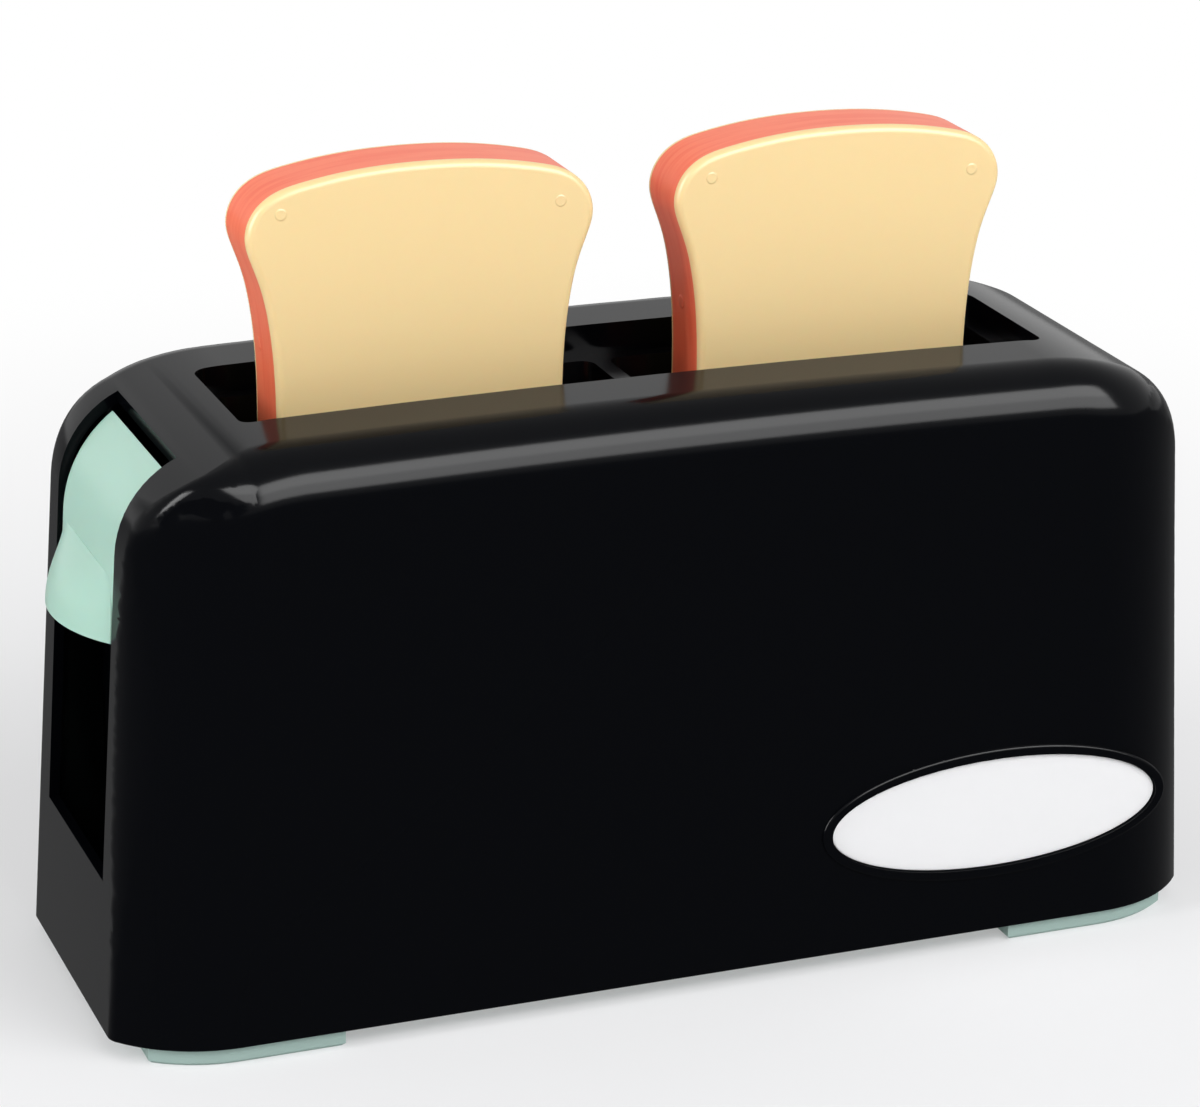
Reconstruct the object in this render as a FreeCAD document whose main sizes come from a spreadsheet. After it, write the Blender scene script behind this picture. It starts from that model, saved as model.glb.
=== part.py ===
import FreeCAD, Part
import Sketcher
import math
import os
import re

# Toy toaster, in millimetres. X runs along the length with the lever at -X, -Y is the face with the
# badge, and Z is up. The origin is the middle of the footprint, on the surface that the feet stand on.

DRIVING = {
    # glossy one-piece cover
    "cover_length": 200.0,
    "cover_depth": 71.0,
    "end_setback": 9.85,
    "cover_height": 102.5,
    "crown_rise": 0.9,
    "crown_end_inset": 27.5,
    "shoulder_radius": 48.0,
    "shoulder_angle": 22.0,
    "corner_radius": 18.0,
    "plan_radius": 25.5,
    "end_draft": 3.4,
    "face_draft": 0.9,
    "top_fillet": 9.0,
    "edge_fillet": 3.5,
    "wall": 1.8,
    "foot_height": 3.3,
    # bread slot, its collar and the liner below it
    "slot_length": 145.0,
    "slot_width": 30.0,
    "slot_corner": 2.5,
    "collar_depth": 5.5,
    "collar_wall": 1.8,
    "ledge_width": 3.0,
    "liner_wall": 1.5,
    "liner_flange": 1.6,
    "liner_skirt": 13.0,
    "divider_wall": 3.0,
    "ear_thickness": 3.0,
    # opening for the lever in the left end
    "opening_width": 36.4,
    "opening_bottom_gap": 1.2,
    "opening_reach": 15.6,
    # lever
    "lever_gap": 0.5,
    "lever_wall": 2.6,
    "lever_recess": 0.3,
    "lever_corner": 22.0,
    "lever_length": 35.8,
    "lever_top_gap": 1.6,
    "lever_travel": 40.0,
    "lip_reach": 5.9,
    "lip_rise": 11.0,
    "lever_edge": 2.3,
    # oval badge plate
    "badge_inset": 42.5,
    "badge_centre_rise": 22.4,
    "badge_length": 62.8,
    "badge_height": 20.6,
    "badge_thickness": 0.8,
    "badge_recess": 0.9,
    "badge_gap": 0.15,
    "badge_rim_width": 1.8,
    "badge_rim_rise": 0.5,
    "peg_radius": 1.2,
    "peg_spacing": 36.0,
    # base plate and feet
    "base_thickness": 2.0,
    "base_gap": 0.25,
    "foot_length": 32.8,
    "foot_width": 14.0,
    "foot_inset": 1.0,
    "foot_end_inset": 38.3,
    # screws
    "screw_radius": 1.2,
    "screw_length": 9.0,
    "head_radius": 2.6,
    "head_height": 1.1,
    "thread_gap": 0.05,
    "head_gap": 0.3,
    "column_radius": 3.2,
    "column_end_inset": 16.0,
    "column_face_inset": 12.5,
    "liner_screw_inset": 17.5,
    "liner_screw_offset": 6.0,
    # guide posts and return springs
    "post_radius": 3.0,
    "post_offset": 3.5,
    "post_seat": 3.2,
    "socket_height": 6.0,
    "running_gap": 0.08,
    "wire_radius": 0.25,
    "spring_radius": 4.2,
    "spring_turns": 18.0,
    # carriage
    "hub_radius": 5.0,
    "hub_length": 14.0,
    "hub_top_gap": 0.3,
    "tray_wall": 1.4,
    "tray_floor": 2.0,
    "tray_height": 12.0,
    "bar_width": 8.0,
    "bar_height": 3.0,
    "flange_wall": 2.0,
    "flange_width": 27.0,
    "flange_height": 15.0,
    "lever_screw_spacing": 20.0,
    # toasts
    "toast_width": 60.2,
    "toast_base_width": 50.0,
    "toast_height": 62.0,
    "toast_thickness": 13.6,
    "toast_sink": 24.5,
    "toast_spread": 2.5,
    "toast_shift": -1.2,
    "toast_gap": 0.3,
    "toast_seat_gap": 0.1,
    "crust_wall": 2.2,
    "slice_skin": 1.5,
    "slice_edge": 1.2,
}

# Sizes and places that follow from the driving ones, so that the pieces keep together.
FOLLOWING = {
    "end_depth": "cover_depth - 2 * end_setback",
    "crown_half_span": "cover_length / 2 - crown_end_inset",
    "lever_bottom": "cover_height - lever_length",
    "opening_bottom": "lever_bottom - lever_travel - opening_bottom_gap",
    "badge_centre": "cover_length / 2 - badge_inset",
    "foot_start": "cover_length / 2 - foot_end_inset",
    "column_along": "cover_length / 2 - column_end_inset",
    "column_across": "cover_depth / 2 - column_face_inset",
    "liner_screw_along": "slot_length / 2 - liner_screw_inset",
    "liner_screw_across": "slot_width / 2 + liner_screw_offset",
    "post_along": "slot_length / 2 + post_offset",
    "toast_seat": "cover_height - toast_sink",
    "toast_spacing": "slot_length / 2 + toast_spread",
}

doc = FreeCAD.newDocument("toy_toaster")
sheet = doc.addObject("Spreadsheet::Sheet", "dims")
cells = [(alias, str(value)) for alias, value in DRIVING.items()]
cells += [(alias, "=" + text) for alias, text in FOLLOWING.items()]
for row, (alias, content) in enumerate(cells, start=1):
    sheet.set("A%d" % row, alias)
    sheet.set("B%d" % row, content)
    sheet.setAlias("B%d" % row, alias)
doc.recompute()

FUNCTIONS = {"tan", "cos", "sin", "sqrt"}
V = FreeCAD.Vector


def size(alias):
    """Return one driving dimension as a number."""
    return float(sheet.get(alias))


def formula(text):
    """Turn a formula of plain aliases into an expression on the sheet."""
    def cell(match):
        word = match.group(0)
        return word if word in FUNCTIONS else "dims." + word
    return re.sub(r"\b[a-z][a-z_0-9]*\b", cell, str(text))


def bind(item, **properties):
    """Bind properties of an object to formulas of the driving dimensions."""
    for name, text in properties.items():
        item.setExpression(name.replace("__", "."), formula(text))
    return item


def place(item, x=0, y=0, z=0):
    """Bind an object's position; heights are counted from the surface that the feet stand on."""
    return bind(item, Placement__Base__x=x, Placement__Base__y=y, Placement__Base__z=z)


def block(name, long, wide, tall, x, y, z):
    """A box centred on x and y, with its underside at z."""
    item = bind(doc.addObject("Part::Box", name), Length=long, Width=wide, Height=tall)
    return place(item, "%s - (%s) / 2" % (x, long), "%s - (%s) / 2" % (y, wide), z)


def rod(name, radius, tall, x, y, z):
    """An upright cylinder with its underside at z."""
    item = bind(doc.addObject("Part::Cylinder", name), Radius=radius, Height=tall)
    return place(item, x, y, z)


def fuse(name, items):
    item = doc.addObject("Part::MultiFuse", name)
    item.Shapes = items
    item.Refine = True
    return item


def cut(name, base, tools):
    """Take one tool, or a list of tools, away from a base."""
    tool = tools
    if isinstance(tools, list):
        tool = fuse(name + "_tools", tools) if len(tools) > 1 else tools[0]
    item = doc.addObject("Part::Cut", name)
    item.Base = base
    item.Tool = tool
    return item


def common(name, one, other):
    item = doc.addObject("Part::MultiCommon", name)
    item.Shapes = [one, other]
    return item


def feature(name, shape):
    """An object whose shape is worked out here from the sheet."""
    pose = FreeCAD.Placement(shape.Placement)
    item = doc.addObject("Part::Feature", name)
    item.Shape = shape
    item.Placement = pose
    return item


def origin_plane(body, role):
    return next(item for item in body.Origin.OriginFeatures if item.Role == role)


def new_sketch(body, name, role):
    sketch = body.newObject("Sketcher::SketchObject", name)
    sketch.AttachmentSupport = [(origin_plane(body, role), "")]
    sketch.MapMode = "FlatFace"
    return sketch


def rounded_block(name, long, wide, tall, corner, x, y, z):
    """A body padded from a centred rectangle, with its upright edges rounded."""
    body = doc.addObject("PartDesign::Body", name)
    sketch = new_sketch(body, name + "_outline", "XY_Plane")
    corners = [V(-20, -10, 0), V(20, -10, 0), V(20, 10, 0), V(-20, 10, 0)]
    for index in range(4):
        sketch.addGeometry(Part.LineSegment(corners[index], corners[(index + 1) % 4]), False)
    rule = constraint_adder(sketch)
    for index in range(4):
        rule("Coincident", index, 2, (index + 1) % 4, 1)
    rule("Horizontal", 0)
    rule("Vertical", 1)
    rule("Horizontal", 2)
    rule("Vertical", 3)
    rule("Symmetric", 0, 1, 1, 2, -1, 1)
    sketch.setExpression("Constraints[%d]" % rule("DistanceX", 0, 1, 0, 2, 40.0), formula(long))
    sketch.setExpression("Constraints[%d]" % rule("DistanceY", 1, 1, 1, 2, 20.0), formula(wide))
    pad = body.newObject("PartDesign::Pad", name + "_pad")
    pad.Profile = sketch
    bind(pad, Length=tall)
    doc.recompute()
    upright = [
        "Edge%d" % (index + 1)
        for index, edge in enumerate(pad.Shape.Edges)
        if abs(edge.tangentAt(edge.FirstParameter).z) > 0.99
    ]
    fillet = body.newObject("PartDesign::Fillet", name + "_corners")
    fillet.Base = (pad, upright)
    bind(fillet, Radius=corner)
    body.Tip = fillet
    return place(body, x, y, z)


def constraint_adder(sketch):
    """Return a function that adds one constraint to a sketch and gives its number."""
    def rule(*words):
        return sketch.addConstraint(Sketcher.Constraint(*words))
    return rule


def tangent_chain(inset, corner):
    """Left half of the front view outline, from the middle of the crown to the top of the end.

    The crown, shoulder and corner are tangent arcs, and the corner arc is tangent to the drafted end.
    Returns the arcs as (centre, radius, first angle, last angle), angles from +Z towards -X.
    """
    draft = math.radians(size("end_draft"))
    split = math.radians(size("shoulder_angle"))
    crown = size("crown_half_span") ** 2 / (2 * size("crown_rise"))
    shoulder = size("shoulder_radius")
    top = size("cover_height") - inset
    crown_centre = (0.0, top - crown)
    start = -size("cover_length") / 2 + inset / math.cos(draft)

    def centres(angle):
        reach = crown - shoulder
        shoulder_centre = (-reach * math.sin(angle), crown_centre[1] + reach * math.cos(angle))
        reach = shoulder - corner
        corner_centre = (
            shoulder_centre[0] - reach * math.sin(split),
            shoulder_centre[1] + reach * math.cos(split),
        )
        return shoulder_centre, corner_centre

    def gap_to_end(angle):
        x, z = centres(angle)[1]
        return (x - start - math.tan(draft) * z) * math.cos(draft) - corner

    low, high = 0.0, split
    for _ in range(60):
        middle = (low + high) / 2
        if gap_to_end(middle) > 0:
            low = middle
        else:
            high = middle
    shoulder_centre, corner_centre = centres(low)
    return [
        (crown_centre, crown, 0.0, low),
        (shoulder_centre, shoulder, low, split),
        (corner_centre, corner, split, math.pi / 2 - draft),
    ]


def on_arc(arc, angle):
    (x, z), radius = arc[0], arc[1]
    return V(x - radius * math.sin(angle), 0, z + radius * math.cos(angle))


def mirrored(point, x=1, y=1):
    return V(point.x * x, point.y * y, point.z)


def front_prism(inset, corner, bottom):
    """The front view outline, pushed through the whole depth."""
    draft = math.tan(math.radians(size("end_draft")))
    half = size("cover_length") / 2 - inset / math.cos(math.radians(size("end_draft")))
    chain = tangent_chain(inset, corner)
    foot = V(-half + draft * bottom, 0, bottom)
    edges = [Part.makeLine(foot, on_arc(chain[2], chain[2][3]))]
    for arc in reversed(chain[1:]):
        first, last = arc[3], arc[2]
        points = [on_arc(arc, angle) for angle in (first, (first + last) / 2, last)]
        edges.append(Part.Arc(*points).toShape())
    left = on_arc(chain[0], chain[0][3])
    edges.append(Part.Arc(left, on_arc(chain[0], 0.0), mirrored(left, x=-1)).toShape())
    for arc in chain[1:]:
        points = [on_arc(arc, angle) for angle in (arc[2], (arc[2] + arc[3]) / 2, arc[3])]
        edges.append(Part.Arc(*[mirrored(point, x=-1) for point in points]).toShape())
    edges.append(Part.makeLine(mirrored(on_arc(chain[2], chain[2][3]), x=-1), mirrored(foot, x=-1)))
    edges.append(Part.makeLine(mirrored(foot, x=-1), foot))
    face = Part.Face(Part.Wire(edges))
    depth = size("cover_depth") * 2
    face.translate(V(0, -depth / 2, 0))
    return face.extrude(V(0, depth, 0))


def plan_wire(inset, level, overrun):
    """Plan outline at one level: flat faces that curve back towards both ends."""
    radius = size("plan_radius")
    setback = (size("cover_depth") - size("end_depth")) / 2
    run = math.sqrt(radius ** 2 - (radius - setback) ** 2)
    start = size("cover_length") / 2 - run - math.tan(math.radians(size("end_draft"))) * level
    half = size("cover_depth") / 2 - math.tan(math.radians(size("face_draft"))) * level - inset
    radius = radius - inset
    last = math.asin(min((run + overrun) / radius, 0.98))

    def corner(x, y):
        points = [
            V(start + radius * math.sin(angle), half - radius + radius * math.cos(angle), level)
            for angle in (0.0, last / 2, last)
        ]
        return [mirrored(point, x, y) for point in points]

    chain = []
    for x, y, turned in ((1, 1, False), (1, -1, True), (-1, -1, False), (-1, 1, True)):
        points = corner(x, y)
        chain.append(list(reversed(points)) if turned else points)
    edges = []
    for index, points in enumerate(chain):
        edges.append(Part.Arc(*points).toShape())
        edges.append(Part.makeLine(points[2], chain[(index + 1) % 4][0]))
    return Part.Wire(edges)


def face_outline_edges(blank, bottom):
    """Edges where the broad faces meet the band that runs over the ends and the top."""
    found = []
    for index, edge in enumerate(blank.Edges):
        middle = edge.valueAt((edge.FirstParameter + edge.LastParameter) / 2)
        turns = []
        for face in blank.ancestorsOfType(edge, Part.Face):
            normal = face.normalAt(*face.Surface.parameter(middle))
            turns.append(abs(normal.y))
        if len(turns) == 2 and min(turns) < 0.05 and max(turns) > 0.3 and middle.z > bottom + 0.5:
            found.append((index + 1, edge))
    return found


def cover_blank(name, inset, bottom):
    """Solid inside the cover's skin at one inset, rounded along the outline of its broad faces."""
    overrun = 2.5
    above = size("cover_height") + 5
    plan = Part.makeLoft([plan_wire(inset, bottom, overrun), plan_wire(inset, above, overrun)], True, True)
    prism = front_prism(inset, size("corner_radius") - inset, bottom)
    blank = feature(name + "_blank", prism.common(plan))
    chain = tangent_chain(inset, size("corner_radius") - inset)
    high = on_arc(chain[2], chain[2][2]).z
    low = on_arc(chain[2], chain[2][3]).z
    top = size("top_fillet") - inset
    side = size("edge_fillet") - inset

    def radius_at(point):
        share = min(max((point.z - low) / (high - low), 0.0), 1.0)
        return side + (top - side) * share

    rounded = doc.addObject("Part::Fillet", name)
    rounded.Base = blank
    rounded.Edges = [
        (number, radius_at(edge.valueAt(edge.FirstParameter)), radius_at(edge.valueAt(edge.LastParameter)))
        for number, edge in face_outline_edges(blank.Shape, bottom)
    ]
    return place(rounded, z="foot_height")


COLLAR_END = "foot_height + cover_height - collar_depth"
SKIRT_END = COLLAR_END + " - liner_skirt"
EAR_TOP = SKIRT_END + " + ear_thickness"
BOTH = (-1, 1)
CORNERS = [(x, y) for x in BOTH for y in BOTH]


def oval(half_length, half_height, low, high, rounding=0.0):
    """An elliptical disc square to the drafted front face, between two offsets from that face."""
    draft = math.radians(size("face_draft"))
    normal = V(0, -math.cos(draft), math.sin(draft))
    rise = size("badge_centre_rise")
    centre = V(size("badge_centre"), -size("cover_depth") / 2 + math.tan(draft) * rise, rise)
    ellipse = Part.Ellipse(V(0, 0, 0), half_length, half_height).toShape()
    disc = Part.Face(Part.Wire([ellipse])).extrude(V(0, 0, high - low))
    if rounding:
        rim = [edge for edge in disc.Edges if edge.BoundBox.ZMin > high - low - 0.01]
        disc = disc.makeFillet(rounding, rim)
    turn = FreeCAD.Rotation(V(1, 0, 0), 90 - size("face_draft"))
    disc.Placement = FreeCAD.Placement(centre + normal * low + V(0, 0, size("foot_height")), turn)
    return disc


def badge_pegs(name, radius, low, high):
    """Two round pegs behind the badge, between two depths behind the front face."""
    draft = math.radians(size("face_draft"))
    normal = V(0, -math.cos(draft), math.sin(draft))
    rise = size("badge_centre_rise")
    pegs = []
    for side in BOTH:
        x = size("badge_centre") + side * size("peg_spacing") / 2
        centre = V(x, -size("cover_depth") / 2 + math.tan(draft) * rise, rise + size("foot_height"))
        pegs.append(Part.makeCylinder(radius, high - low, centre - normal * low, normal * -1))
    return feature(name, pegs[0].fuse(pegs[1]))


def make_cover():
    """One-piece cover: shell, slot collar, screw columns, liner bosses, badge rim and openings."""
    skin = cover_blank("cover_skin", 0.0, 0.0)
    hollow = cover_blank("cover_hollow", size("wall"), -1.0)
    shell = cut("cover_shell", skin, hollow)
    collar_block = rounded_block(
        "collar_block", "slot_length + 2 * collar_wall", "slot_width + 2 * collar_wall", "collar_depth + 2",
        "slot_corner + collar_wall", 0, 0, COLLAR_END)
    uprights = [collar_block]
    for index, (x, y) in enumerate(CORNERS):
        uprights.append(rod(
            "column_%d" % index, "column_radius", "cover_height", "%d * column_along" % x,
            "%d * column_across" % y, "foot_height + base_thickness"))
        uprights.append(rod(
            "liner_boss_%d" % index, "column_radius", "liner_skirt + collar_depth",
            "%d * liner_screw_along" % x, "%d * liner_screw_across" % y, EAR_TOP))
    inner = common("cover_uprights", fuse("uprights", uprights), skin)
    rim_half = size("badge_length") / 2 + size("badge_rim_width")
    rim_tall = size("badge_height") / 2 + size("badge_rim_width")
    rim = feature("badge_rim", oval(rim_half, rim_tall, -size("wall") / 2, size("badge_rim_rise"), 0.45))
    solid = fuse("cover_solid", [shell, inner, rim])
    tools = [
        rounded_block("slot_cutter", "slot_length", "slot_width", "collar_depth + 6", "slot_corner",
                      0, 0, COLLAR_END + " - 2"),
        block("opening_cutter", "opening_reach + 10", "opening_width", "cover_height",
              "-(cover_length / 2 + 10 + cover_length / 2 - opening_reach) / 2", 0,
              "foot_height + opening_bottom"),
        feature("badge_seat", oval(size("badge_length") / 2, size("badge_height") / 2,
                                   -size("badge_recess"), 2.0)),
        badge_pegs("peg_holes", size("peg_radius") + 0.1, -1.0, size("wall") + 1.0),
    ]
    for index, (x, y) in enumerate(CORNERS):
        tools.append(rod(
            "column_bore_%d" % index, "screw_radius + thread_gap", "screw_length + 2",
            "%d * column_along" % x, "%d * column_across" % y, "foot_height"))
        tools.append(rod(
            "boss_bore_%d" % index, "screw_radius + thread_gap", "screw_length",
            "%d * liner_screw_along" % x, "%d * liner_screw_across" % y, EAR_TOP + " - 1"))
    return cut("cover", solid, tools)


def make_badge():
    """Bare oval plate in the recess, held by two pegs."""
    gap = size("badge_gap")
    back = -size("badge_recess")
    plate = feature("badge_disc", oval(
        size("badge_length") / 2 - gap, size("badge_height") / 2 - gap, back, back + size("badge_thickness"), 0.2))
    pegs = badge_pegs("badge_pegs", size("peg_radius"), size("badge_recess") - 0.2, size("wall") + 0.8)
    return fuse("badge_plate", [plate, pegs])


def make_base():
    """Base plate inside the cover, with four feet below the cover's rim and two post sockets."""
    gap = size("wall") + size("base_gap")
    outline = Part.Face(end_trim(plan_wire(gap, 0.0, 0.0), gap))
    plate = place(feature("base_sheet", outline.extrude(V(0, 0, size("base_thickness")))), z="foot_height")
    solids = [plate]
    pad_outline = Part.Face(end_trim(plan_wire(size("foot_inset"), 0.0, 0.0), size("foot_inset")))
    pad_sheet = place(feature("foot_sheet", pad_outline.extrude(V(0, 0, size("foot_height")))), z=0)
    stations = [
        block("foot_station_%d" % index, "foot_length", "foot_width + 10", "foot_height",
              "%d * (foot_start + foot_length / 2)" % x,
              "%d * (cover_depth / 2 - foot_width / 2 + 5)" % y, 0)
        for index, (x, y) in enumerate(CORNERS)
    ]
    feet = common("feet_blank", pad_sheet, fuse("foot_stations", stations))
    doc.recompute()
    rims = [
        (number + 1, 0.6, 0.6)
        for number, edge in enumerate(feet.Shape.Edges)
        if edge.BoundBox.ZMax < 0.01
    ]
    chamfered = doc.addObject("Part::Chamfer", "feet")
    chamfered.Base = feet
    chamfered.Edges = rims
    solids.append(chamfered)
    tools = []
    for index, side in enumerate(BOTH):
        along = "%d * post_along" % side
        solids.append(rod("socket_%d" % index, "post_radius + 2.2", "socket_height", along, 0, "foot_height"))
        tools.append(rod("socket_bore_%d" % index, "post_radius + thread_gap", "socket_height",
                         along, 0, "foot_height + post_seat"))
        tools.append(rod("socket_screw_%d" % index, "screw_radius + head_gap",
                         "foot_height + socket_height", along, 0, 0))
        tools.append(rod("socket_head_%d" % index, "head_radius + head_gap",
                         "foot_height + head_height + 0.2", along, 0, 0))
    for index, (x, y) in enumerate(CORNERS):
        along, across = "%d * column_along" % x, "%d * column_across" % y
        tools.append(rod("base_hole_%d" % index, "screw_radius + head_gap", "foot_height + base_thickness + 1",
                         along, across, -0.5))
        tools.append(rod("base_head_%d" % index, "head_radius + head_gap",
                         "foot_height + head_height + 0.7", along, across, -0.5))
    return cut("base_plate", fuse("base_solid", solids), tools)


def end_trim(wire, inset):
    """Cut a plan outline square at the end faces."""
    face = Part.Face(wire)
    half = size("cover_length") / 2 - inset
    depth = 2 * size("cover_depth")
    slab = Part.makePlane(2 * half, depth, V(-half, -depth / 2, wire.BoundBox.ZMin))
    return face.common(slab).Faces[0].OuterWire


def make_liner():
    """Liner under the slot: ledge, two bays with a divider, screw ears and post ears."""
    hole_half = "slot_length / 2 - ledge_width"
    flange = rounded_block(
        "liner_flange_block", "slot_length + 2 * collar_wall", "slot_width + 2 * collar_wall", "liner_flange",
        "slot_corner + collar_wall", 0, 0, COLLAR_END + " - liner_flange")
    skirt = rounded_block(
        "liner_skirt_block", "slot_length - 2 * ledge_width + 2 * liner_wall",
        "slot_width - 2 * ledge_width + 2 * liner_wall", "liner_skirt", "slot_corner + liner_wall",
        0, 0, SKIRT_END)
    solids = [flange, skirt]
    bores = []
    for index, (x, y) in enumerate(CORNERS):
        reach = "liner_screw_across + column_radius - slot_width / 2 + ledge_width"
        solids.append(block(
            "screw_ear_%d" % index, "2 * column_radius + 2", reach, "ear_thickness",
            "%d * liner_screw_along" % x,
            "%d * (slot_width / 2 - ledge_width + (%s) / 2)" % (y, reach), SKIRT_END))
        bores.append(rod("screw_ear_bore_%d" % index, "screw_radius + head_gap", "ear_thickness + 2",
                         "%d * liner_screw_along" % x, "%d * liner_screw_across" % y, SKIRT_END + " - 1"))
    for index, side in enumerate(BOTH):
        reach = "post_along + post_radius + 1.5 - (%s)" % hole_half
        solids.append(block(
            "post_ear_%d" % index, reach, "2 * post_radius + 4", "ear_thickness",
            "%d * (%s + (%s) / 2)" % (side, hole_half, reach), 0, SKIRT_END))
        bores.append(rod("post_ear_bore_%d" % index, "post_radius + thread_gap", "ear_thickness + 2",
                         "%d * post_along" % side, 0, SKIRT_END + " - 1"))
        bay = "(slot_length - 2 * ledge_width - divider_wall) / 2"
        bores.append(rounded_block(
            "bay_%d" % index, bay, "slot_width - 2 * ledge_width", "liner_skirt + 10", "slot_corner",
            "%d * (divider_wall / 2 + (%s) / 2)" % (side, bay), 0, SKIRT_END + " - 2"))
    return cut("slot_liner", fuse("liner_solid", solids), bores)


TOAST_BOTTOM = "foot_height + toast_seat"
TRAY_TOP = TOAST_BOTTOM + " - toast_seat_gap"
HUB_BOTTOM = SKIRT_END + " - hub_top_gap - hub_length"


def lever_joint():
    """X of the flange face that the lever's bosses meet, and their height above the table."""
    height = size("toast_seat")
    draft = math.tan(math.radians(size("end_draft")))
    skin = -size("cover_length") / 2 + draft * height + size("lever_recess") + size("lever_wall")
    return skin + 2.0, height + size("foot_height")


def make_carriage():
    """Carriage: two toast trays on a bar, a hub at each end, and the flange that carries the lever."""
    solids = []
    tools = []
    bar_bottom = TRAY_TOP + " - tray_floor + 0.5 - bar_height"
    solids.append(block("carriage_bar", "2 * post_along", "bar_width", "bar_height", 0, 0, bar_bottom))
    for index, side in enumerate(BOTH):
        centre = "%d * toast_spacing / 2 + toast_shift" % side
        solids.append(rounded_block(
            "tray_%d" % index, "toast_base_width + 2 * toast_gap + 2 * tray_wall",
            "toast_thickness + 2 * toast_gap + 2 * tray_wall", "tray_floor + tray_height", "slot_corner",
            centre, 0, TRAY_TOP + " - tray_floor"))
        tools.append(block(
            "tray_hollow_%d" % index, "toast_base_width + 2 * toast_gap", "toast_thickness + 2 * toast_gap",
            "tray_height + 5", centre, 0, TRAY_TOP))
        solids.append(rod("hub_%d" % index, "hub_radius", "hub_length", "%d * post_along" % side, 0, HUB_BOTTOM))
        tools.append(rod("hub_bore_%d" % index, "post_radius + running_gap", "hub_length + 2",
                         "%d * post_along" % side, 0, HUB_BOTTOM + " - 1"))
    face, height = lever_joint()
    arm_long = -size("post_along") - face
    arm = feature("lever_arm", Part.makeBox(
        arm_long, size("bar_width"), size("bar_height"), V(face, -size("bar_width") / 2, 0)))
    solids.append(place(arm, z=bar_bottom))
    flange = feature("lever_flange", Part.makeBox(
        size("flange_wall"), size("flange_width"), size("flange_height"),
        V(face, -size("flange_width") / 2, height - size("flange_height") / 2)))
    solids.append(flange)
    for index, side in enumerate(BOTH):
        hole = Part.makeCylinder(
            size("screw_radius") + size("head_gap"), 10,
            V(face - 5, side * size("lever_screw_spacing") / 2, height), V(1, 0, 0))
        tools.append(feature("flange_hole_%d" % index, hole))
    return cut("carriage", fuse("carriage_solid", solids), tools)


def lip_section(level, reach, half_width):
    """A D-shaped section of the thumb lip: a chord in the lever's face and an arc in front of it."""
    draft = math.tan(math.radians(size("end_draft")))
    root = -size("cover_length") / 2 + draft * level + size("lever_recess")
    back = root + size("lever_wall") / 2
    points = [V(root, -half_width, level), V(root - reach, 0, level), V(root, half_width, level)]
    edges = [
        Part.Arc(*points).toShape(),
        Part.makeLine(points[2], V(back, half_width, level)),
        Part.makeLine(V(back, half_width, level), V(back, -half_width, level)),
        Part.makeLine(V(back, -half_width, level), points[0]),
    ]
    return Part.Wire(edges)


def make_lever():
    """Lever: a curved skin that follows the cover's corner, a thumb lip and two screw bosses."""
    half_width = size("opening_width") / 2 - size("lever_gap")
    recess, wall, corner = size("lever_recess"), size("lever_wall"), size("lever_corner")
    bottom = size("lever_bottom")
    outer = front_prism(recess, corner, 0.0)
    inner = front_prism(recess + wall, corner - wall, -1.0)
    end = -size("cover_length") / 2 + size("opening_reach") - size("lever_top_gap")
    reach = 2 * size("opening_reach")
    room = Part.makeBox(reach, 2 * half_width, size("cover_height"), V(end - reach, -half_width, bottom))
    skin = outer.cut(inner).common(room)
    edge_size = size("lever_edge")
    long_edges = []
    for edge in skin.Edges:
        middle = edge.valueAt((edge.FirstParameter + edge.LastParameter) / 2)
        faces = skin.ancestorsOfType(edge, Part.Face)
        normal_turn = [abs(face.normalAt(*face.Surface.parameter(middle)).y) for face in faces]
        outside = outer.distToShape(Part.Vertex(middle))[0] < 1e-6 and not outer.isInside(middle, 1e-4, False)
        if max(normal_turn) > 0.99 and min(normal_turn) < 0.01 and outside:
            if abs(middle.x - end) > 0.01 and abs(middle.z - bottom) > 0.01:
                long_edges.append(edge)
    skin = skin.makeFillet(edge_size, long_edges)
    rise = size("lip_rise")
    levels = 9
    sections = []
    for index in range(levels):
        share = index / (levels - 1)
        reach = size("lip_reach") * (1 - 0.98 * share ** 2.4)
        spread = (half_width - edge_size / 2) * (1 - 0.12 * share ** 3)
        sections.append(lip_section(bottom + rise * share, reach, spread))
    lip = Part.makeLoft(sections, True, False)
    body = place(feature("lever_skin", skin.fuse(lip).removeSplitter()), z="foot_height")
    face, height = lever_joint()
    bosses = []
    bores = []
    for index, side in enumerate(BOTH):
        centre = V(face, side * size("lever_screw_spacing") / 2, height)
        bosses.append(feature("lever_boss_%d" % index, Part.makeCylinder(
            size("column_radius"), 3.0, centre, V(-1, 0, 0))))
        bores.append(feature("lever_bore_%d" % index, Part.makeCylinder(
            size("screw_radius") + size("thread_gap"), 3.4, centre, V(-1, 0, 0))))
    return cut("lever", fuse("lever_solid", [body] + bosses), bores)


def screw(length):
    """A pan head screw that points up from the top of its head."""
    head = Part.makeCylinder(size("head_radius"), size("head_height"), V(0, 0, -size("head_height")))
    lower = [edge for edge in head.Edges if edge.BoundBox.ZMax < -size("head_height") + 0.01]
    head = head.makeFillet(0.5, lower)
    shank = Part.makeCone(size("screw_radius"), size("screw_radius") * 0.7, length, V(0, 0, 0))
    solid = head.fuse(shank)
    slot_wide, slot_long, slot_deep = 0.6, 2.8, 0.7
    for turn in (0, 90):
        blade = Part.makeBox(slot_long, slot_wide, slot_deep, V(-slot_long / 2, -slot_wide / 2, 0))
        blade.rotate(V(0, 0, 0), V(0, 0, 1), turn)
        blade.translate(V(0, 0, -size("head_height") - 0.1))
        solid = solid.cut(blade)
    return solid


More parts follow.
